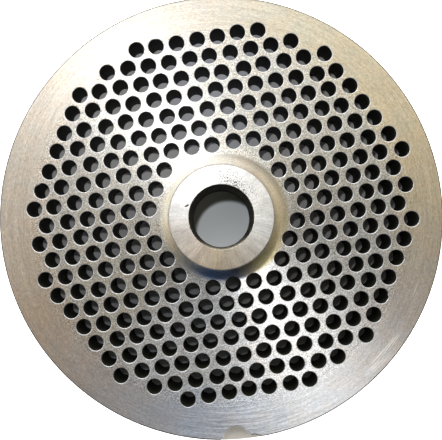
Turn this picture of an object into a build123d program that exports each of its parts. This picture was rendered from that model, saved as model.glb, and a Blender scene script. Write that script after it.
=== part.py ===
from build123d import *

import math
import os

# Meat grinder plate with its own hub, for a size 32 grinder: one piece of hardened tool steel.
#
# Millimetres, +Z up. The origin is where the bore's axis meets the knife face, the flat underside
# that the blades sweep. The hub stands on the other side, the outlet side, and the key notch in
# the rim points along -Y.

# The disc
plate_diameter = 100.0
plate_thickness = 8.0
rim_break = 0.3  # 45 degree edge break round both faces, notch included

# The hub, turned from the same blank
hub_diameter = 22.0
hub_height = 11.0  # above the outlet face
hub_root_radius = 3.4  # hollow fillet between the hub and the outlet face
hub_edge_break = 0.2

# The bore that the feed screw's stud turns in
bore_diameter = 13.3
bore_mouth_break = 0.15  # at the hub's end: the knife face keeps its sharp edge

# The key notch, a half-round slot milled across the rim for the pin in the grinder's head
notch_radius = 3.0
notch_corner_radius = 0.7

# The meat holes: a triangular grid centred on one of its own points. The table that it was drilled
# on was a little out of square, so its triangles are not quite equal-sided.
hole_diameter = 3.5
row_pitch = 4.65  # from a hole to the next in its row
slant_pitch = 4.64  # from a hole to the nearest in the next row
slant_angle = 59.1  # degrees between the two
grid_turn = 5.55  # degrees from +X to the rows
grid_offset = (0.43, 0.89)  # the grid was drilled this far off the bore's axis, in X and Y
rim_land = 6.75  # no hole is centred within this distance of the rim, or
hub_land = 3.9  # within this one of the hub's side, taken about the grid's centre


def hole_centres():
    """Return the grid points between the hub's land and the rim's land.

    Every point is a whole number of steps along its row and a whole number of slant steps from
    row to row, and every hole has six neighbours.
    """
    nearest = hub_diameter / 2 + hub_land
    furthest = plate_diameter / 2 - rim_land
    reach = math.ceil(furthest / (slant_pitch * math.sin(math.radians(slant_angle))))
    along_row = Vector(row_pitch, 0).rotate(Axis.Z, grid_turn)
    to_next_row = Vector(slant_pitch, 0).rotate(Axis.Z, grid_turn + slant_angle)
    steps = range(-reach, reach + 1)
    points = [along_row * i + to_next_row * j for i in steps for j in steps]
    return [point + Vector(*grid_offset) for point in points if nearest < point.length < furthest]


def turned_section():
    """Return half of the blank's section, with the bore's axis as its left-hand edge."""
    hub_radius = hub_diameter / 2
    hub_top = plate_thickness + hub_height
    rim = plate_diameter / 2
    root_foot = (hub_radius + hub_root_radius, plate_thickness)
    root_top = (hub_radius, plate_thickness + hub_root_radius)
    with BuildSketch(Plane.XZ) as section:
        with BuildLine():
            Polyline((0, hub_top), (0, 0), (rim, 0), (rim, plate_thickness), root_foot)
            RadiusArc(root_foot, root_top, hub_root_radius)
            Polyline(root_top, (hub_radius, hub_top), (0, hub_top))
        make_face()
    return section.sketch


with BuildPart() as grinder_plate:
    # Turned blank: disc, hub and the hollow root between them
    revolve(turned_section(), axis=Axis.Z)

    # Key notch: a round cutter straight down the rim, then its two corners eased
    with Locations((0, -plate_diameter / 2)):
        Cylinder(
            notch_radius,
            plate_thickness,
            align=(Align.CENTER, Align.CENTER, Align.MIN),
            mode=Mode.SUBTRACT,
        )
    notch_corners = grinder_plate.edges().filter_by(GeomType.LINE).filter_by(Axis.Z).sort_by(Axis.Y)[:2]
    fillet(notch_corners, notch_corner_radius)

    # Edge breaks on the knife face, the outlet face and the hub's end, lowest face first
    knife_face, outlet_face, _ = grinder_plate.faces().filter_by(Plane.XY).sort_by(Axis.Z)
    chamfer(knife_face.outer_wire().edges() + outlet_face.outer_wire().edges(), rim_break)
    hub_face = grinder_plate.faces().filter_by(Plane.XY).sort_by(Axis.Z)[-1]
    chamfer(hub_face.outer_wire().edges(), hub_edge_break)

    # Bore
    Hole(bore_diameter / 2)
    hub_face = grinder_plate.faces().filter_by(Plane.XY).sort_by(Axis.Z)[-1]
    chamfer(hub_face.inner_wires().edges(), bore_mouth_break)

    # Meat holes, drilled through from the outlet face
    with Locations(*hole_centres()):
        Hole(hole_diameter / 2)

grinder_plate.part.label = "grinder_plate"
os.makedirs("parts", exist_ok=True)
export_step(grinder_plate.part, "parts/grinder_plate.step")
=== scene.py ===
# %% [markdown]
# # A meat grinder plate, dressed in Blender
#
# The plate is one piece of hardened steel: a perforated disc with a hub in the middle. Its solid
# comes packed from CAD. Here it gets a finer surface, a turned-steel finish and a small studio.
# Lengths are worked out in millimetres and become metres when a mesh is made.

import bpy
import numpy as np
from mathutils.geometry import delaunay_2d_cdt
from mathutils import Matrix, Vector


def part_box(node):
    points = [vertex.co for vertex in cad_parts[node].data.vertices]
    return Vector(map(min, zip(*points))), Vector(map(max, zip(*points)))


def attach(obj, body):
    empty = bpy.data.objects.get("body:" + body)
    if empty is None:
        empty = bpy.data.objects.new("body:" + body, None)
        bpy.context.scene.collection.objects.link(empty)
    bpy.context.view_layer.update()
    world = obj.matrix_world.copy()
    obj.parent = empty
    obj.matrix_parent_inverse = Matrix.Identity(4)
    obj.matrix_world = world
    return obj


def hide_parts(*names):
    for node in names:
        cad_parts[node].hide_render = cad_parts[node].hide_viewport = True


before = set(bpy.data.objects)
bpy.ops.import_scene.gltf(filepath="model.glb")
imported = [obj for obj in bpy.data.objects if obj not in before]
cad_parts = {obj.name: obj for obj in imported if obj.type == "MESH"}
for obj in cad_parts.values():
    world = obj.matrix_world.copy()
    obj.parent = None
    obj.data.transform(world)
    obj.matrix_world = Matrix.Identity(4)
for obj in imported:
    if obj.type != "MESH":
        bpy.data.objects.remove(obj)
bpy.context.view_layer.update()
_, plate_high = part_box("grinder_plate")

MM = 0.001
plate_radius = plate_high.x / MM
plate_top = plate_high.z / MM
print(f"{len(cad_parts)} packed node")
print(f"plate {2 * plate_radius:.1f} mm across and {plate_top:.1f} mm tall at the hub")

# %% [markdown]
# ## The sizes that the surface follows
#
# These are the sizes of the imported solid, so that the finer surface lies on it. The grid of meat
# holes is worked out by the same rule: a triangular grid, kept between the hub's land and the
# rim's land, turned a little and set off the bore's axis.

# %% Sizes, in millimetres and degrees
disc_thickness = 8.0
rim_break = 0.3
hub_radius = 11.0
hub_root_radius = 3.4
hub_edge_break = 0.2
bore_radius = 6.65
bore_mouth_break = 0.15
notch_radius = 3.0
notch_corner_radius = 0.7
hole_radius = 1.75
row_pitch, slant_pitch = 4.65, 4.64
row_angle, slant_angle = 5.55, 64.65
field_inner = 14.9
field_outer = 43.25
grid_offset = np.array([0.43, 0.89])

quarter_turn = np.radians([0, 30, 60, 90])  # the steps in which small edges are rounded
print(f"holes {2 * hole_radius} mm wide, {row_pitch} mm apart")

# %% Height of the outlet face, and directions in plan
def outlet_height(radius):
    """Height of the outlet face over the knife face, at a distance from the bore's axis.

    Flat at the disc's thickness, then a quarter circle up to the hub: for a point x millimetres
    inside the root's foot, the rise is R - sqrt(R^2 - x^2).
    """
    inside = np.clip(hub_radius + hub_root_radius - radius, 0, hub_root_radius)
    return disc_thickness + hub_root_radius - np.sqrt(hub_root_radius**2 - inside**2)


def polar(length, degrees):
    """Plan coordinates of a length laid off at an angle from +X."""
    angle = np.radians(degrees)
    return np.stack([length * np.cos(angle), length * np.sin(angle)], -1)


def lifted(points, height):
    """Plan points with a height each, or with one for all."""
    return np.concatenate([points, np.broadcast_to(height, points.shape[:-1])[..., None]], -1)


foot = hub_radius + hub_root_radius
print(f"heights at the hub and at the root's foot: {outlet_height(np.array([hub_radius, foot]))}")

# %% The grid of meat holes
grid_ways = np.stack([polar(row_pitch, row_angle), polar(slant_pitch, slant_angle)])


def drilled_points(reach=12):
    """The grid points that carry a hole: i steps along a row and j on the slant, in the ring."""
    steps = np.arange(-reach, reach + 1)
    steps = np.stack(np.meshgrid(steps, steps, indexing="ij"), -1).reshape(-1, 2)
    points = steps @ grid_ways
    distance = np.hypot(*points.T)
    return points[(distance > field_inner) & (distance < field_outer)] + grid_offset


cell_centres = drilled_points()
print(f"{len(cell_centres)} meat holes")

# %% [markdown]
# ## One cell of the field
#
# Every hole sits in a hexagon of plate, and the hexagons of neighbouring holes share their edges.
# So one profile, carried round all the holes at once, makes the whole field: it starts on the
# hexagon, runs over the rounded lip, down the wall and out along the underside to the hexagon
# again. A boolean cut would do it too, but it leaves long thin triangles round each hole, and
# they shade badly on bright steel.

# %% Sizes of a cell, and what the drill and use did to it
SIDES = 24  # points round a hole; a multiple of six keeps the hexagons' corners
lip_radius = 0.13
lip_collar = 0.06  # a narrow flat ring that keeps the flat face's shading flat
lip_to_wall = 0.7  # the wall's first ring lies this far below the face
drill_scatter, most_scatter = 0.12, 0.25  # the drill wanders by this much each way

rng = np.random.default_rng(7)
scatter = rng.normal(0, drill_scatter, cell_centres.shape).clip(-most_scatter, most_scatter)
hole_centres = cell_centres + scatter

turn = np.linspace(0, 360, SIDES, endpoint=False)
round_points = polar(1.0, turn + row_angle)
even_ways = np.stack([polar(1.0, 0), polar(1.0, 60)])  # a grid of steps of 1 at exactly 60 degrees

# burred lips: the (x, y) of the burr, how far it leans into the hole, and how wide it is, in mm
burrs = np.array(
    [
        (-6.2, 25.6, 0.3, 0.38),
        (-40.6, 10.3, 0.34, 0.42),
        (-12.0, 41.2, 0.2, 0.4),
        (36.4, -19.7, 0.28, 0.36),
        (36.1, -20.8, 0.2, 0.3),
        (26.6, 36.0, 0.5, 0.75),
    ]
)
print(f"{len(burrs)} burrs, and holes up to {np.hypot(*scatter.T).max():.2f} mm off the grid")

# %% Rings of points for every cell
def hexagon():
    """The outline of a cell: apothem / cos(angle from a side's middle), leaned as the grid leans.

    It is worked out on the even grid first, where the apothem is half a step.
    """
    from_middle = np.radians((turn + 30) % 60 - 30)
    even = (0.5 / np.cos(from_middle))[:, None] * polar(1.0, turn)
    return even @ np.linalg.inv(even_ways) @ grid_ways


def cell_rings():
    """Rings of points for every cell, shaped (holes, rings, sides, 3), from top to bottom."""
    hexagons = cell_centres[:, None] + hexagon()

    def ring(radius, burred=False):
        """Circles round the holes.

        A burr moves a point inwards by lean * exp(-(distance / width)^2).
        """
        points = hole_centres[:, None] + radius * round_points
        if burred:
            from_burr = np.linalg.norm(points[..., None, :] - burrs[:, :2], axis=-1)
            lean = (burrs[:, 2] * np.exp(-((from_burr / burrs[:, 3]) ** 2))).sum(-1)
            points = points - lean[..., None] * round_points
        return points

    def on_face(points, drop=0.0):
        """Plan points laid on the outlet face, or as far below it as drop says."""
        return lifted(points, outlet_height(np.hypot(points[..., 0], points[..., 1])) - drop)

    rings = [on_face(hexagons), on_face(ring(hole_radius + lip_radius + lip_collar))]
    for angle in quarter_turn:
        lip = ring(hole_radius + lip_radius * (1 - np.sin(angle)), burred=True)
        rings.append(on_face(lip, lip_radius * (1 - np.cos(angle))))
    rings.append(on_face(ring(hole_radius), lip_to_wall))
    rings += [lifted(ring(hole_radius), 0.0), lifted(hexagons, 0.0)]
    return np.stack(rings, 1)


cells = cell_rings()
print(f"cells: {cells.shape[0]} holes, {cells.shape[1]} rings of {cells.shape[2]} points each")

# %% Faces between the rings
def strip_faces(rows, columns):
    """Quads between the rows of a grid of points, as indices, with the columns joined in a loop."""
    row, column = np.meshgrid(np.arange(rows - 1), np.arange(columns), indexing="ij")
    after = (column + 1) % columns
    corners = [row * columns + column, row * columns + after, (row + 1) * columns + after]
    corners.append((row + 1) * columns + column)
    return np.stack(corners, -1).reshape(-1, 4)


holes, rings = cells.shape[:2]
cell_quads = strip_faces(rings, SIDES)[None] + (np.arange(holes) * rings * SIDES)[:, None, None]
cell_quads = cell_quads.reshape(-1, 4)
print(f"field: {len(cell_quads)} quads")

# %% [markdown]
# ## The rim and its key notch
#
# The rim's outline is four arcs that meet without a corner: the disc, the notch, and an easing
# arc on each side between them. The rim's small profile is then carried along this outline.

# %% Outline of the disc
DISC_POINTS, CORNER_POINTS, NOTCH_POINTS = 420, 7, 25


def arc(centre, radius, start, end, count):
    """Points on an arc and its outward unit vectors, without the last point."""
    angle = np.linspace(start, end, count, endpoint=False)
    out = np.stack([np.cos(angle), np.sin(angle)], -1)
    return np.array(centre) + radius * out, out


def disc_outline():
    """The outline, anticlockwise, and the directions that point out of the steel.

    The easing circle touches the disc from inside and the notch from outside, so its centre is
    at R - f from the bore's axis and at r + f from the notch's centre.
    """
    R, r, f = plate_radius, notch_radius, notch_corner_radius
    y = ((r + f) ** 2 - (R - f) ** 2 - R**2) / (2 * R)
    x = np.sqrt((R - f) ** 2 - y**2)
    at_disc = np.arctan2(y, x)
    at_notch = np.arctan2(y + R, x)
    disc = arc((0, 0), R, at_disc, np.pi - at_disc, DISC_POINTS)
    left = arc((-x, y), f, np.pi - at_disc, 2 * np.pi - at_notch, CORNER_POINTS)
    notch = arc((0, -R), r, np.pi - at_notch, at_notch, NOTCH_POINTS)
    right = arc((x, y), f, np.pi + at_notch, 2 * np.pi + at_disc, CORNER_POINTS)
    pieces = [disc, left, (notch[0], -notch[1]), right]
    return np.concatenate([p for p, _ in pieces]), np.concatenate([n for _, n in pieces])


outline, outward = disc_outline()
print(f"outline: {len(outline)} points")

# %% The worn corner and the rim's profile
# the notch's right corner is worn away: pushed in by up to wear_depth, over wear_length or so
worn_corner, wear_depth, wear_length = np.array([4.0, -49.6]), 0.8, 1.2
from_corner = np.hypot(*(outline - worn_corner).T)
wear = wear_depth * np.exp(-((from_corner / wear_length) ** 2))
outline = outline - wear[:, None] * outward


def rim_rings():
    """The rim's profile carried along the outline: face, rounded break, wall, break, face."""
    shrinking = rim_break * (1 - np.sin(quarter_turn))
    growing = rim_break * (1 - np.cos(quarter_turn))
    collar = [rim_break + lip_collar]
    inset = np.concatenate([collar, shrinking, growing, collar])
    height = np.concatenate([[disc_thickness], disc_thickness - growing, shrinking, [0]])
    return lifted(outline - inset[:, None, None] * outward, height[:, None])


rim = rim_rings()
rim_quads = strip_faces(*rim.shape[:2])[:, ::-1]
print(f"rim: {len(rim_quads)} quads")

# %% [markdown]
# ## The hub and the bore
#
# Both are turned, so their section is drawn once and spun round the axis.

# %% Hub and bore, as one spun section
AROUND = 180  # points round the axis
END_RINGS = 26  # rings of points across the hub's end


def rounded(corner, first, second, size):
    """Points that round a corner of the section, from the first direction to the second."""
    corner, first, second = np.array(corner), np.array(first), np.array(second)
    angle = quarter_turn[:, None]
    centre = corner + size * (first + second)
    return centre - size * (first * np.sin(angle) + second * np.cos(angle))


def hub_section():
    """(radius, height) points: up the bore, over the hub's end and down to the root."""
    mouth = rounded((bore_radius, plate_top), (0, -1), (1, 0), bore_mouth_break)
    edge = rounded((hub_radius, plate_top), (-1, 0), (0, -1), hub_edge_break)
    wall = np.array([[bore_radius, 0.0]])
    inner, outer = bore_radius + bore_mouth_break, hub_radius - hub_edge_break
    end = np.linspace(inner + lip_collar, outer - lip_collar, END_RINGS)
    end = np.stack([end, np.full_like(end, plate_top)], -1)
    root_top = np.array([[hub_radius, disc_thickness + hub_root_radius]])
    return np.concatenate([wall, mouth, end, edge, root_top])


section = hub_section()
around = np.linspace(0, 2 * np.pi, AROUND, endpoint=False)
around = np.stack([np.cos(around), np.sin(around)], -1)
hub = lifted(section[:, :1, None] * around, section[:, 1:])
hub_quads = strip_faces(*hub.shape[:2])[:, ::-1]
print(f"hub: {len(hub_quads)} quads")

# %% [markdown]
# ## The plain lands
#
# What is left of each face lies between the field, the rim and the hub. Its edges wander, so a
# grid doesn't fit it. A Delaunay triangulation does, with the known edges as its borders. Rings of
# extra points are added at the hub's root, where the face curves.

# %% Extra points on the hub's root
root_step = 8  # degrees of the root's quarter circle from ring to ring
past_root = 0.2  # the last ring lies on the flat, this far out
cell_margin = 0.12  # rings keep this clear of the cells


def near_cell(points, margin):
    """True where a plan point lies in a drilled hexagon grown by a margin.

    On the even grid, a point is in a hexagon when its reach towards each of the three pairs of
    sides is under half a step.
    """
    even = (points[:, None] - cell_centres) @ np.linalg.inv(grid_ways) @ even_ways
    reach = np.abs(even @ polar(1.0, np.array([0, 60, 120])).T).max(-1)
    return (reach < 0.5 + margin / row_pitch).any(1)


def root_points():
    """Extra plan points on rings across the hub's root, evenly spaced along its curve."""
    angle = np.radians(np.arange(root_step, 91, root_step))
    radii = hub_radius + hub_root_radius * (1 - np.cos(angle))
    radii = np.append(radii, [foot, foot + past_root])
    points = (radii[:, None, None] * around).reshape(-1, 2)
    return points[~near_cell(points, cell_margin)]


on_root = root_points()
print(f"{len(on_root)} points on the root")

# %% Fill the rest of both faces
DECIMALS = 4  # points that agree to this many decimals of a millimetre are one point


def fill_face(inner, extra):
    """Triangles inside the rim's ring and outside the inner ring and every cell, in plan.

    Blender's triangulation also says which of the given points each of its points came from,
    and which of the loops each triangle lies in. Loop 0 is the rim's.
    """
    loops = [rim[0, :, :2], inner, *cells[:, 0, :, :2]]
    starts = np.cumsum([0] + [len(loop) for loop in loops])
    plan = np.concatenate([*loops, extra])
    loops = [list(range(start, end)) for start, end in zip(starts, starts[1:])]
    filled = delaunay_2d_cdt(plan.tolist(), [], loops, 0, 10.0**-DECIMALS, True)
    _, _, triangles, sources, _, inside = filled
    first_source = np.array([source[0] for source in sources])
    in_outline_only = [list(loop_numbers) == [0] for loop_numbers in inside]
    return plan, first_source[np.array(triangles)[in_outline_only]]


outlet_plan, outlet_triangles = fill_face(hub[-1, :, :2], on_root)
outlet = lifted(outlet_plan, outlet_height(np.hypot(*outlet_plan.T)))
knife_plan, knife_triangles = fill_face(hub[0, :, :2], np.zeros((0, 2)))
knife = lifted(knife_plan, 0.0)
print(f"faces: {len(outlet_triangles)} and {len(knife_triangles)} triangles")

# %% [markdown]
# ## Weld everything into one closed skin
#
# The parts were worked out apart, but they meet in equal points. Points that agree to a
# ten-thousandth of a millimetre become one, and the skin closes. Each part brings the number of
# its finish, so that the drilled walls can be dark while the faces shine.

# %% The finish of every quad
TURNED, GROUND, LIP, DRILLED, REAMED, EDGE, SIDE, KNIFE = range(8)


def band_finish(columns, loops, finish_of_row):
    """The finish of every quad, from the finish of each row of quads."""
    return np.tile(np.repeat(finish_of_row, columns), loops)


cell_finish = band_finish(SIDES, holes, [TURNED] * 2 + [LIP] * 3 + [DRILLED] * 2 + [KNIFE])

# a rounded edge takes three rows of quads, and the bore four: its wall and its rounded mouth
end_rows = [GROUND] * (END_RINGS + 1)
hub_finish = band_finish(AROUND, 1, [REAMED] * 4 + end_rows + [EDGE] * 3 + [SIDE])
rim_finish = np.array([TURNED] + [EDGE] * 3 + [SIDE] + [EDGE] * 3 + [KNIFE])
rim_finish = np.repeat(rim_finish[:, None], rim.shape[1], axis=1)

# the notch's upper edge, within this box in X and Y, is as bright as the face
notch_half_width, notch_inner_y = 3.6, -46
in_notch = (np.abs(outline[:, 0]) < notch_half_width) & (outline[:, 1] < notch_inner_y)
upper_edge = slice(1, 4)
rim_finish[upper_edge, in_notch] = TURNED
print(f"{in_notch.sum()} of the rim's {len(outline)} columns are in the notch")

# %% Weld the parts
def weld(*parts):
    """Join (points, faces, finish) parts into one list of points, of faces and of finishes."""
    offsets = np.cumsum([0] + [len(points) for points, _, _ in parts])
    points = np.concatenate([points for points, _, _ in parts])
    coarse = np.round(points, DECIMALS)
    _, first, same = np.unique(coarse, axis=0, return_index=True, return_inverse=True)
    same = same.reshape(-1)
    faces = [same[quads + start].tolist() for (_, quads, _), start in zip(parts, offsets)]
    finishes = np.concatenate([np.broadcast_to(finish, len(quads)) for _, quads, finish in parts])
    return points[first], [face for group in faces for face in group], finishes


points, faces, finishes = weld(
    (cells.reshape(-1, 3), cell_quads, cell_finish),
    (rim.reshape(-1, 3), rim_quads, rim_finish.reshape(-1)),
    (hub.reshape(-1, 3), hub_quads, hub_finish),
    (outlet, outlet_triangles, TURNED),
    (knife, knife_triangles[:, ::-1], KNIFE),
)

print(f"skin: {len(points)} points, {len(faces)} faces")

# %% The skin as Blender's mesh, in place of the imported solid
skin = bpy.data.meshes.new("turned_plate")
skin.from_pydata((points * MM).tolist(), [], faces)
skin.polygons.foreach_set("material_index", finishes.astype(np.int32))
skin.shade_smooth()
skin.set_sharp_from_angle(angle=np.radians(40))
turned_plate = bpy.data.objects.new("turned_plate", skin)
bpy.context.scene.collection.objects.link(turned_plate)
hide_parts("grinder_plate")
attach(turned_plate, "root")
print(f"{turned_plate.name}: {(np.array(turned_plate.dimensions) / MM).round(2)} mm")

# %% [markdown]
# ## A short way to write materials
#
# Every finish is a small graph of nodes. One function adds a node, sets its values and links its
# inputs, so that a finish reads from top to bottom like a recipe. Some settings come up again and
# again: a Map Range that rises smoothly, and a Mix that works on colours. They get names.

# %% Node helper and colours
def add(tree, kind, inputs=(), out=0, **settings):
    """Add a node, set its settings, fill its inputs, and return one of its outputs.

    kind is the node's type without "ShaderNode". inputs are values or other nodes' outputs, in
    order, or in a dictionary from an input's name or number. A node without outputs gives None.
    """
    node = tree.nodes.new("ShaderNode" + kind)
    for name, value in settings.items():
        setattr(node, name, value)
    if not isinstance(inputs, dict):
        inputs = dict(enumerate(inputs))
    for name, value in inputs.items():
        if isinstance(value, bpy.types.NodeSocket):
            tree.links.new(value, node.inputs[name])
        else:
            node.inputs[name].default_value = value
    return node.outputs[out] if node.outputs else None


SMOOTH = {"interpolation_type": "SMOOTHSTEP"}

# a Mix node has sockets for every kind of data, and these are the numbers of those for colours
FACTOR, FROM, TO = 0, 6, 7
COLOURS = {"data_type": "RGBA", "out": 2}


def linear(hex_colour):
    """sRGB "#rrggbb" to linear RGBA: c / 12.92 below 0.04045, else ((c + 0.055) / 1.055) ^ 2.4."""
    c = np.array([int(hex_colour[i : i + 2], 16) for i in (1, 3, 5)]) / 255
    return (*np.where(c <= 0.04045, c / 12.92, ((c + 0.055) / 1.055) ** 2.4).tolist(), 1.0)


def new_finish(name):
    """An empty material and its node tree."""
    finish = bpy.data.materials.new(name)
    finish.use_nodes = True
    finish.node_tree.nodes.clear()
    return finish, finish.node_tree


def close_finish(finish, **inputs):
    """End a finish with the Principled shader; an input's name is written with _ for a space."""
    tree = finish.node_tree
    inputs = {name.replace("_", " "): value for name, value in inputs.items()}
    add(tree, "OutputMaterial", {"Surface": add(tree, "BsdfPrincipled", inputs)})
    print(f"{finish.name}: {len(tree.nodes)} nodes")


# %% [markdown]
# ## Where a point lies on the plate
#
# The finishes follow the lathe: they change with the distance from the axis and run round it. So
# most of them start from the same three things: the place in millimetres, the distance from the
# axis, and the direction away from it. Object coordinates give the place, since the plate's
# object sits at the origin.

# %% Places on the plate
def on_plate(tree):
    """The place on the plate, in mm."""
    place = add(tree, "TexCoord", out="Object")
    return add(tree, "VectorMath", (place, (MM, MM, MM)), operation="DIVIDE")


def distance_from(tree, place, middle):
    """The distance in plan from a middle, in mm, and the direction away from it."""
    from_middle = add(tree, "VectorMath", (place, (*middle, 0)), operation="SUBTRACT")
    plan = add(tree, "VectorMath", (from_middle, (1, 1, 0)), operation="MULTIPLY")
    distance = add(tree, "VectorMath", (plan,), operation="LENGTH", out="Value")
    return distance, add(tree, "VectorMath", (plan,), operation="NORMALIZE")


def patch(tree, place, middle, size, turned=0.0, soft=0.5):
    """1 inside an ellipse on the surface and 0 outside; soft is the part of it that fades."""
    any_height = 1000
    inputs = {"Vector": place, "Location": (*middle, 0), "Rotation": (0, 0, np.radians(turned))}
    inputs["Scale"] = (*size, any_height)
    across = add(tree, "Mapping", inputs, vector_type="TEXTURE")
    across = add(tree, "VectorMath", (across,), operation="LENGTH", out="Value")
    return add(tree, "MapRange", (across, 1.0, 1.0 - soft), **SMOOTH)


# %% [markdown]
# ## Patterns that the finishes share
#
# A turned face is made of arcs. Noise is drawn out into arcs when it reads the distance from the
# axis as one coordinate, and the direction's cosine and sine as the other two: the pattern then
# runs round the axis and has no seam. Sizes across the arcs are in millimetres, and sizes along
# them in radians.
#
# A fine cut leaves grooves about a tenth of a millimetre apart. That is too fine to show from
# where the plate is seen, so grooves, grit and scratches are drawn 0.1 to 0.3 mm wide.

# %% Streaks, mottling, shading and painted light round the axis
def wound_up(tree, distance, away):
    """(distance, cosine, sine): noise in it runs in arcs round the axis, with no seam."""
    cosine, sine = (add(tree, "SeparateXYZ", (away,), out=axis) for axis in ("X", "Y"))
    return add(tree, "CombineXYZ", (distance, cosine, sine))


def mottling(tree, place, size, detail=2.0, rough=0.5):
    """Noise whose lumps are about as big as size, which may differ in X, Y and Z."""
    per_size = tuple(1 / s for s in (size if isinstance(size, tuple) else (size,) * 3))
    scaled = add(tree, "VectorMath", (place, per_size), operation="MULTIPLY")
    inputs = {"Vector": scaled, "Scale": 1.0, "Detail": detail, "Roughness": rough}
    return add(tree, "TexNoise", inputs)


def streaks(tree, wound, across, along, detail=2.0, rough=0.5):
    """Mottling in arcs: mm across the arcs, and radians along them."""
    return mottling(tree, wound, (across, along, along), detail, rough)


def shade(tree, colour, amount, value):
    """Darken and lighten a colour by up to amount, as a value goes from 0 to 1."""
    colour = colour[:3] if isinstance(colour, tuple) else colour
    level = add(tree, "Math", (value, 2 * amount, 1 - amount), operation="MULTIPLY_ADD")
    return add(tree, "VectorMath", {0: colour, "Scale": level}, operation="SCALE")


def painted_round_axis(tree, away, stops):
    """Painted light and shade round the axis: stops go from degrees past +X to a colour, rising.

    A radial gradient starts at -X, so it is given the opposite direction. The last stop blends
    into the first one again, a full turn later.
    """
    opposite = add(tree, "VectorMath", (away, (-1, -1, 0)), operation="MULTIPLY")
    turned = add(tree, "TexGradient", (opposite,), gradient_type="RADIAL", out="Fac")
    colours = add(tree, "ValToRGB", (turned,))
    ramp = colours.node.color_ramp
    stops = [(degrees / 360, np.array(linear(colour))) for degrees, colour in stops.items()]
    (first, start), (last, end) = stops[0], stops[-1]
    seam = end + (start - end) * (1 - last) / (first + 1 - last)
    ramp.elements[0].color = ramp.elements[1].color = seam
    for position, colour in stops:
        ramp.elements.new(position).color = colour
    return colours


# %% [markdown]
# ## Turned steel
#
# A lathe tool leaves fine grooves that run round the axis. They scatter light across the groove
# and hardly at all along it, so a small lamp shows as a bright wedge that points at the hub. The
# Principled shader does this with Anisotropic and a Tangent: the highlight is drawn out along the
# tangent, so the tangent points away from the axis.
#
# Short streaks along the grooves and a fine sandy grain break up the shine.

# %% Turned steel: the marks of the tool
turned_steel, tree = new_finish("turned steel")
place = on_plate(tree)
distance, away = distance_from(tree, place, (0, 0))
wound = wound_up(tree, distance, away)
short_streaks = streaks(tree, wound, across=0.26, along=0.016, rough=0.6)
long_streaks = streaks(tree, wound, across=0.22, along=0.16, detail=3.0, rough=0.6)
wide_streaks = streaks(tree, wound, across=0.9, along=0.5)
tool_marks = streaks(tree, wound, across=0.16, along=0.3, detail=3.0, rough=0.7)
grain = mottling(tree, place, 0.26, detail=1.0)

# scratches by the rim: arcs that are brighter than the steel round them, in two patches
scratches = streaks(tree, wound, across=0.11, along=0.22, detail=1.0)
scratches = add(tree, "MapRange", (scratches, 0.58, 0.66), **SMOOTH)
scratched = patch(tree, place, (34.6, -33.0), (7.5, 1.5), turned=46.0)
scratched_too = patch(tree, place, (43.0, -19.0), (4.0, 1.0), turned=66.0)
scratched = add(tree, "Math", (scratched, scratched_too), operation="MAXIMUM")
scratches = add(tree, "Math", (scratches, scratched), operation="MULTIPLY")
print(f"turned steel's marks: {len(tree.nodes)} nodes")

# %% [markdown]
# ## The colours of the turned face
#
# The face has three zones. The hollow root of the hub is left as the tool made it: duller and a
# little off centre. Its colours round the axis are painted reflection and shade: straw and brown on
# the side where the lamplight is mirrored, and dark blue, then nearly black, on the near side. The
# field between the holes is nearly neutral, with painted light that makes it lighter where the
# bright wedge lies. The land by the rim has a painted warm reflection of the lamp, is painted
# cooler on the notch's side, and is lighter where the wedge lies.
#
# A Color Ramp over the angle gives each zone its colours, and distances from the axis say where
# one zone goes over into the next.

# %% Turned steel: zones and colours
root_middle = (0.9, 0.2)
from_root, _ = distance_from(tree, place, root_middle)
in_root = add(tree, "MapRange", (from_root, 14.8, 13.7), **SMOOTH)
painted_light_ring = add(tree, "MapRange", (distance, 17.0, 15.6), **SMOOTH)
in_field = add(tree, "MapRange", (distance, 44.0, 41.5), **SMOOTH)
on_land = add(tree, "MapRange", (distance, 36.0, 44.0), **SMOOTH)

# painted reflection and shade: warm where the lamplit right is mirrored, blue and dark below
root_painted_light = {5: "#aea590", 50: "#8a847a", 110: "#9e9e9b", 165: "#aba79a", 205: "#a39883"}
root_painted_light |= {232: "#a4a7a7", 252: "#728bba", 282: "#515765"}  # blue, then nearly black
root_painted_light |= {296: "#7a7363", 311: "#a19b77", 330: "#bfb696"}  # brown, then straw
# painted light: lighter where the bright wedge lies, at about 292 degrees
field_painted_light = {5: "#a4a39f", 50: "#adaca7", 150: "#a5a39f", 220: "#a4a19a"}
field_painted_light |= {238: "#abacaf", 260: "#989a9c", 292: "#bbbbbb", 326: "#9d9d9c"}
# painted light: a warm reflection of the lamp on the right, cooler below, lighter on the wedge
land_painted_light = {5: "#aea48f", 30: "#b6ad98", 65: "#aca798", 95: "#a8a39c", 150: "#b4ada4"}
land_painted_light |= {206: "#a6998c", 258: "#989eaa", 292: "#b8babd", 328: "#9c9691"}

root_colour = shade(tree, painted_round_axis(tree, away, root_painted_light), 0.4, tool_marks)
field_colour = painted_round_axis(tree, away, field_painted_light)
land_colour = painted_round_axis(tree, away, land_painted_light)
colour = add(tree, "Mix", {FACTOR: on_land, FROM: field_colour, TO: land_colour}, **COLOURS)
print(f"{len(root_painted_light)}, {len(field_painted_light)} and {len(land_painted_light)} colours round the axis")

# %% [markdown]
# ## The turned face, put together
#
# Each mark shades the colour in turn, from the widest to the finest. A noise stays near 0.5, so
# where a mark is stronger in one place than in another, its distance from 0.5 is multiplied.

# %% Turned steel: marks over colours
# painted light: the face just outside the root is lightened, where its slope leaves it darker
ring_level = add(tree, "Math", (painted_light_ring, 0.5, 0.5), operation="MULTIPLY_ADD")
colour = shade(tree, colour, 0.2, ring_level)
colour = shade(tree, colour, 0.15, wide_streaks)

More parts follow.
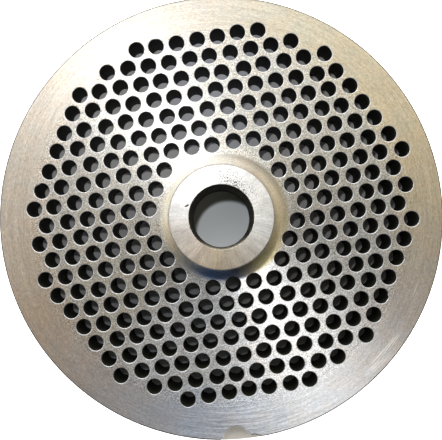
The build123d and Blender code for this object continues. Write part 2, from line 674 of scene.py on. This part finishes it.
# the long streaks are strongest beside the notch
streaky = patch(tree, place, (4.0, -46.0), (22.0, 6.0), soft=0.8)
streaky = add(tree, "Math", (streaky, 1.4, 0.6), operation="MULTIPLY_ADD")
long_streaks = add(tree, "Math", (long_streaks, 0.5), operation="SUBTRACT")
long_streaks = add(tree, "Math", (streaky, long_streaks, 0.5), operation="MULTIPLY_ADD")
colour = shade(tree, colour, 0.5, long_streaks)
colour = add(tree, "Mix", {FACTOR: in_root, FROM: colour, TO: root_colour}, **COLOURS)
colour = shade(tree, colour, 0.42, short_streaks)

# the sand is strong in the field, weak on the land and hardly there in the root
sandy = add(tree, "Math", (in_field, 0.25), operation="ADD")
not_root = add(tree, "Math", (in_root, -0.8, 1.0), operation="MULTIPLY_ADD")
sandy = add(tree, "Math", (sandy, not_root), operation="MULTIPLY")
sand = add(tree, "Math", (grain, 0.5), operation="SUBTRACT")
sand = add(tree, "Math", (sandy, sand, 0.5), operation="MULTIPLY_ADD")
colour = shade(tree, colour, 1.0, sand)

warm_and_cool = mottling(tree, place, 4.0, detail=1.0)
warm_and_cool = add(tree, "MapRange", (warm_and_cool, 0.35, 0.65), **SMOOTH)
cool, warm = (0.98, 1.0, 1.02, 1), (1.02, 0.995, 0.97, 1)
tint = add(tree, "Mix", {FACTOR: warm_and_cool, FROM: cool, TO: warm}, **COLOURS)
colour = add(tree, "VectorMath", (colour, tint), operation="MULTIPLY")
bare = {FACTOR: scratches, FROM: colour, TO: linear("#e8e8e8")}
colour = add(tree, "Mix", bare, **COLOURS)

lumps = add(tree, "Math", (grain, 0.8, short_streaks), operation="MULTIPLY_ADD")
lumps = add(tree, "Math", (scratches, 0.6, lumps), operation="MULTIPLY_ADD")
relief = {"Strength": 0.6, "Distance": 0.008 * MM, "Height": lumps}
close_finish(
    turned_steel,
    Base_Color=colour,
    Metallic=1.0,
    Roughness=0.32,
    Anisotropic=1.0,
    Tangent=away,
    Normal=add(tree, "Bump", relief),
)

# %% [markdown]
# ## Ground steel
#
# The hub's end was ground flat and then handled. It shines evenly, with faint strokes that fan out
# from the bore, painted light on its right, a painted tan reflection on its lower side, a patch of
# tiny dark specks beside the bore, and one small dent. The strokes are the same noise in arcs, only
# long across them and short along them.

# %% Ground steel
ground_steel, tree = new_finish("ground steel")
place = on_plate(tree)
distance, away = distance_from(tree, place, (0, 0))
wound = wound_up(tree, distance, away)
strokes = streaks(tree, wound, across=4.0, along=0.035, detail=3.0, rough=0.6)
wide_strokes = streaks(tree, wound, across=7.0, along=0.2)
clouds = mottling(tree, place, 1.6)
grain = mottling(tree, place, 0.25)
# painted light: lighter on the right, with a painted tan reflection below
end_painted_light = {20: "#adacaa", 90: "#979797", 170: "#929190", 225: "#978f86"}
end_painted_light |= {260: "#948978", 295: "#9a948b", 340: "#b0b0af"}
colour = painted_round_axis(tree, away, end_painted_light)
for amount, mark in ((0.3, strokes), (0.25, wide_strokes), (0.2, clouds), (0.5, grain)):
    colour = shade(tree, colour, amount, mark)

# specks show where the noise is high, and inside their patch it is raised
specks = mottling(tree, place, (0.16, 0.34, 1.0), detail=1.0)
speckled = patch(tree, place, (3.0, 6.8), (7.6, 2.8), turned=-38.0, soft=1.0)
specks = add(tree, "Math", (speckled, 0.14, specks), operation="MULTIPLY_ADD")
specks = add(tree, "MapRange", (specks, 0.64, 0.71), **SMOOTH)
only_there = add(tree, "MapRange", (speckled, 0.0, 0.15), **SMOOTH)
specks = add(tree, "Math", (specks, only_there), operation="MULTIPLY")
dent = patch(tree, place, (-6.95, 2.8), (0.62, 0.24), turned=20.0, soft=0.4)
marks = add(tree, "Math", (specks, dent), operation="MAXIMUM")
colour = add(tree, "Mix", {FACTOR: marks, FROM: colour, TO: linear("#2c2a26")}, **COLOURS)
roughness = add(tree, "Math", (strokes, 0.08, 0.30), operation="MULTIPLY_ADD")
lumps = add(tree, "Math", (strokes, marks), operation="SUBTRACT")
relief = add(tree, "Bump", {"Strength": 0.4, "Distance": 0.006 * MM, "Height": lumps})
close_finish(ground_steel, Base_Color=colour, Metallic=1.0, Roughness=roughness, Normal=relief)

# %% [markdown]
# ## The lips of the holes
#
# The rounded lips are rubbed bright by the meat that is pushed through and by every washing. They
# have none of the face's grooves, so they shine the same way from all sides.

# %% Rubbed lips
rubbed_lips, tree = new_finish("rubbed lips")
wear = mottling(tree, on_plate(tree), 0.6, detail=3.0)
colour = shade(tree, linear("#a2a6ac"), 0.3, wear)
relief = add(tree, "Bump", {"Strength": 0.4, "Distance": 0.01 * MM, "Height": wear})
close_finish(rubbed_lips, Base_Color=colour, Metallic=1.0, Roughness=0.38, Normal=relief)

# %% [markdown]
# ## Drilled and reamed walls
#
# Inside the holes the steel is never polished. It keeps a dark skin with the drill's rings, and so
# does the bore, with a mottled olive tint of old grease. A dark skin hides the metal's mirror, so
# these two are plain dark surfaces with a soft gloss. The bore's wall is painted paler on the
# notch's side, a painted light where the flash falls on it.

# %% Drilled walls
drilled_steel, tree = new_finish("drilled steel")
drill_rings = mottling(tree, on_plate(tree), (1.5, 1.5, 0.16))
colour = shade(tree, linear("#24241f"), 0.5, drill_rings)
relief = add(tree, "Bump", {"Strength": 0.5, "Distance": 0.02 * MM, "Height": drill_rings})
dull = {"Roughness": 0.6, "Specular_IOR_Level": 0.15}
close_finish(drilled_steel, Base_Color=colour, Normal=relief, **dull)

# %% Reamed wall
reamed_steel, tree = new_finish("reamed steel")
place = on_plate(tree)
mottle = mottling(tree, place, (0.6, 0.6, 1.8), detail=4.0, rough=0.7)
greasy = add(tree, "MapRange", (mottle, 0.4, 0.7), **SMOOTH)
grease = {FACTOR: greasy, FROM: linear("#14140c"), TO: linear("#403c2c")}
colour = add(tree, "Mix", grease, **COLOURS)
# painted light: the wall on the notch's side, which faces the flash, is painted paler
near_side = add(tree, "SeparateXYZ", (place,), out="Y")
near_side = add(tree, "MapRange", (near_side, -4.0, -6.2), **SMOOTH)
colour = add(tree, "Mix", {FACTOR: near_side, FROM: colour, TO: linear("#7a766a")}, **COLOURS)
relief = add(tree, "Bump", {"Strength": 0.4, "Distance": 0.02 * MM, "Height": mottle})
dull = {"Roughness": 0.7, "Specular_IOR_Level": 0.1}
close_finish(reamed_steel, Base_Color=colour, Normal=relief, **dull)

# %% [markdown]
# ## Edges, sides and the knife face
#
# The broken edges stay dull and are painted dark, a painted shade that draws a thin dark line round
# the plate, and a paler one round the hub. The plate's side and the hub's side are turned too, with
# rings that run round them. The knife face underneath is lapped flat, and the turning blades polish
# it in fine circles.

# %% Broken edges
edge_steel, tree = new_finish("broken edge")
place = on_plate(tree)
distance, _ = distance_from(tree, place, (0, 0))
# painted shade: the edges are dark out at the rim, and paler round the hub
edge_shade_outward = add(tree, "MapRange", (distance, 30, 40), **SMOOTH)
edge_shade_tones = {FACTOR: edge_shade_outward, FROM: linear("#827f7a"), TO: linear("#292724")}
colour = add(tree, "Mix", edge_shade_tones, **COLOURS)
nicks = mottling(tree, place, 0.5, detail=3.0)
colour = shade(tree, colour, 0.5, nicks)
close_finish(edge_steel, Base_Color=colour, Metallic=1.0, Roughness=0.45)

# %% Turned sides
side_steel, tree = new_finish("turned side")
place = on_plate(tree)
side_rings = mottling(tree, place, (9.0, 9.0, 0.14), detail=3.0, rough=0.6)
stains = mottling(tree, place, 3.0, detail=3.0)
colour = shade(tree, linear("#908e89"), 0.22, side_rings)
colour = shade(tree, colour, 0.18, stains)
roughness = add(tree, "Math", (stains, 0.16, 0.28), operation="MULTIPLY_ADD")
relief = add(tree, "Bump", {"Strength": 0.5, "Distance": 0.01 * MM, "Height": side_rings})
close_finish(side_steel, Base_Color=colour, Metallic=1.0, Roughness=roughness, Normal=relief)

# %% Lapped knife face
knife_steel, tree = new_finish("lapped knife face")
place = on_plate(tree)
wound = wound_up(tree, *distance_from(tree, place, (0, 0)))
blade_circles = streaks(tree, wound, across=0.18, along=0.9, detail=3.0, rough=0.65)
lapping = mottling(tree, place, 0.35)
stains = mottling(tree, place, 6.0, detail=3.0)
colour = shade(tree, linear("#a3a09b"), 0.16, blade_circles)
colour = shade(tree, colour, 0.08, lapping)
colour = shade(tree, colour, 0.10, stains)
roughness = add(tree, "Math", (blade_circles, 0.14, 0.22), operation="MULTIPLY_ADD")
relief = add(tree, "Bump", {"Strength": 0.4, "Distance": 0.006 * MM, "Height": blade_circles})
close_finish(knife_steel, Base_Color=colour, Metallic=1.0, Roughness=roughness, Normal=relief)

# %% Put the finishes on the skin
by_number = {
    TURNED: turned_steel,
    GROUND: ground_steel,
    LIP: rubbed_lips,
    DRILLED: drilled_steel,
    REAMED: reamed_steel,
    EDGE: edge_steel,
    SIDE: side_steel,
    KNIFE: knife_steel,
}
for number in sorted(by_number):
    skin.materials.append(by_number[number])
print(f"{len(skin.materials)} finishes")

# %% [markdown]
# ## The table
#
# The plate lies on a pale sheet, cut just smaller than the plate looks from above, on a white
# table. So the table stays clean white round the plate, and grey shows through the holes. The
# sheet carries painted light and shade: it is painted darker on the near side and by the rim, pale
# behind, with a painted shadow under the bore's far edge and a faint painted glow behind the hub
# and under the bore.

# %% White table
table_radius, table_height = 6000, -0.6


def disc(name, radius, height, finish):
    """A flat disc of the stage: one ring of points round a middle point, as triangles."""
    points = np.vstack([lifted(radius * around, height), [0, 0, height]])
    step = np.arange(AROUND)
    fan = np.stack([np.full(AROUND, AROUND), step, (step + 1) % AROUND], -1)
    mesh = bpy.data.meshes.new(name)
    mesh.from_pydata((points * MM).tolist(), [], fan.tolist())
    mesh.materials.append(finish)
    thing = bpy.data.objects.new(name, mesh)
    bpy.context.scene.collection.objects.link(thing)
    print(f"{name}: {2 * radius:.0f} mm across")


white_table, _ = new_finish("white table")
white = (1, 1, 1, 1)
glow = {"Emission_Color": white, "Emission_Strength": 1.0}
close_finish(white_table, Base_Color=white, Roughness=0.9, **glow)
disc("table", table_radius, table_height, white_table)

# %% Pale sheet
sheet_radius, sheet_height = 52.8, -0.05
black = (0, 0, 0, 1)
pale_sheet, tree = new_finish("pale sheet")
place = on_plate(tree)
distance, away = distance_from(tree, place, (0, 0))
under_bore = add(tree, "MapRange", (distance, 11.0, 9.0), **SMOOTH)
past_rim = add(tree, "MapRange", (distance, 46.0, 48.0), **SMOOTH)
from_shadow, _ = distance_from(tree, place, (1.5, -3.5))
in_shadow = add(tree, "MapRange", (from_shadow, 7.2, 8.4), **SMOOTH)
in_shadow = add(tree, "Math", (in_shadow, under_bore), operation="MULTIPLY")
# painted shade round the axis: darker on the near side, pale behind
sheet_painted_shade = {20: "#dcdcdc", 90: "#ffffff", 140: "#ffffff", 180: "#cbcbcd"}
sheet_painted_shade |= {225: "#95979b", 270: "#95999b", 315: "#797977"}
colour = painted_round_axis(tree, away, sheet_painted_shade)
# a faint blue under the bore, painted shade past the rim, and a painted shadow under the bore
for where, paint in (
    (under_bore, (0.96, 0.98, 1, 1)),
    (past_rim, linear("#cfcdca")),
    (in_shadow, linear("#8a8c86")),
):
    colour = add(tree, "Mix", {FACTOR: where, FROM: colour, TO: paint}, **COLOURS)

# painted light: a faint glow behind the hub and under the bore, but not in the painted shadow
lit = black
for where, light in (
    (patch(tree, place, (0.0, 36.0), (22.0, 34.0), soft=1.0), (0.06, 0.065, 0.09, 1)),
    (under_bore, (0.012, 0.025, 0.035, 1)),
    (in_shadow, black),
):
    lit = add(tree, "Mix", {FACTOR: where, FROM: lit, TO: light}, **COLOURS)
glow = {"Emission_Color": lit, "Emission_Strength": 1.0}
close_finish(pale_sheet, Base_Color=colour, Roughness=0.8, **glow)
disc("sheet", sheet_radius, sheet_height, pale_sheet)

# %% [markdown]
# ## Camera
#
# The camera looks straight down from about the width of a hand and a half above the table. So near
# a thing, the hub looks wider than its foot, and each hole shows the wall on its outer side.

# %% Camera
camera_place = (-0.304, -3.287, 135.4)  # mm
camera_roll = -3.85  # degrees

camera_data = bpy.data.cameras.new("camera")
camera_data.lens = 46.07
camera_data.shift_y = 0.0296
camera_data.clip_start = 0.01
camera = bpy.data.objects.new("camera", camera_data)
camera.location = np.array(camera_place) * MM
camera.rotation_euler = (0, 0, np.radians(camera_roll))
bpy.context.scene.collection.objects.link(camera)
bpy.context.scene.camera = camera
bpy.context.scene.view_settings.view_transform = "Standard"
print(f"camera: {camera_data.lens:.1f} mm lens, {camera_place[2]:.0f} mm above the table")

# %% [markdown]
# ## Light
#
# The plate lies in a pale room. Bright metal shows the room that it stands in, so the room is the
# light: a world shader adds up soft patches, each with a direction, a width and a brightness.
# Daylight comes from the left and from behind, a little warm lamplight from the right, and the
# near side stays dark. Two small lamps high on the near side draw the bright wedge on the turned
# face, and the turned face's painted light makes the wedge brighter still. A small flash by the
# camera draws the shadow in the bore, and a painted shadow on the sheet deepens it.
#
# Directions are given as the camera sees them: azimuth 0 is to the right and 90 is up.

# %% An empty room, and a patch of light
lights_up = 2.2  # how bright the whole room is
daylight = linear("#fffdf9")
lamplight = linear("#fff7e6")

world = bpy.data.worlds.new("room")
bpy.context.scene.world = world
world.use_nodes = True
room = world.node_tree
room.nodes.clear()


def turned_with_camera(x, y):
    """Turn a direction or place by the camera's roll, into the plate's axes."""
    roll = np.radians(camera_roll)
    return x * np.cos(roll) - y * np.sin(roll), x * np.sin(roll) + y * np.cos(roll)


def soft_patch(azimuth, elevation, brightness, tint, spread=20):
    """A bright patch of the room: brightness * exp((cos(angle off its middle) - 1) / spread^2).

    Angles are in degrees.
    """
    azimuth, elevation = np.radians([azimuth, elevation])
    level = np.cos(elevation)
    x, y = turned_with_camera(level * np.cos(azimuth), level * np.sin(azimuth))
    middle = (x, y, np.sin(elevation))
    towards = add(room, "TexCoord", out="Generated")
    off = add(room, "VectorMath", (towards, middle), operation="DOT_PRODUCT", out="Value")
    off = add(room, "Math", (off, 1.0), operation="SUBTRACT")
    off = add(room, "Math", (off, np.radians(spread) ** 2), operation="DIVIDE")
    fade = add(room, "Math", (off,), operation="EXPONENT")
    fade = add(room, "Math", (fade, brightness * lights_up), operation="MULTIPLY")
    return add(room, "Background", {"Color": tint, "Strength": fade})

# %% The room
patches = [
    # low: bright on the left and behind, dim on the right, dark at the near side
    soft_patch(0, 12, 0.14, lamplight),
    soft_patch(45, 12, 0.35, daylight),
    soft_patch(90, 12, 0.9, daylight),
    soft_patch(135, 12, 1.1, daylight),
    soft_patch(180, 12, 1.1, daylight),
    soft_patch(225, 12, 0.07, daylight),
    # half way up: brightest behind
    soft_patch(0, 40, 0.14, lamplight),
    soft_patch(45, 40, 0.9, lamplight),
    soft_patch(90, 40, 1.45, daylight),
    soft_patch(135, 40, 0.65, daylight),
    soft_patch(180, 40, 0.3, lamplight),
    # high on the near side: two small lamps, which draw the bright wedge
    soft_patch(304, 60, 0.85, daylight, spread=8),
    soft_patch(300, 72, 0.25, daylight, spread=6),
]
total = patches[0]
for one in patches[1:]:
    total = add(room, "AddShader", (total, one))
add(room, "OutputWorld", {"Surface": total})
print(f"{len(patches)} soft patches of light")

# %% The flash
flash_width, flash_height = 6, 143  # mm
flash_offset = (-11.5, 22.0)  # mm from the axis, as the camera sees it

flash_data = bpy.data.lights.new("flash", "AREA")
flash_data.shape = "DISK"
flash_data.size = flash_width * MM
flash_data.energy = 0.0153 * lights_up
flash = bpy.data.objects.new("flash", flash_data)
flash.location = np.array([*turned_with_camera(*flash_offset), flash_height]) * MM
bpy.context.scene.collection.objects.link(flash)
print(f"flash: {flash_data.energy * 1000:.0f} mW")
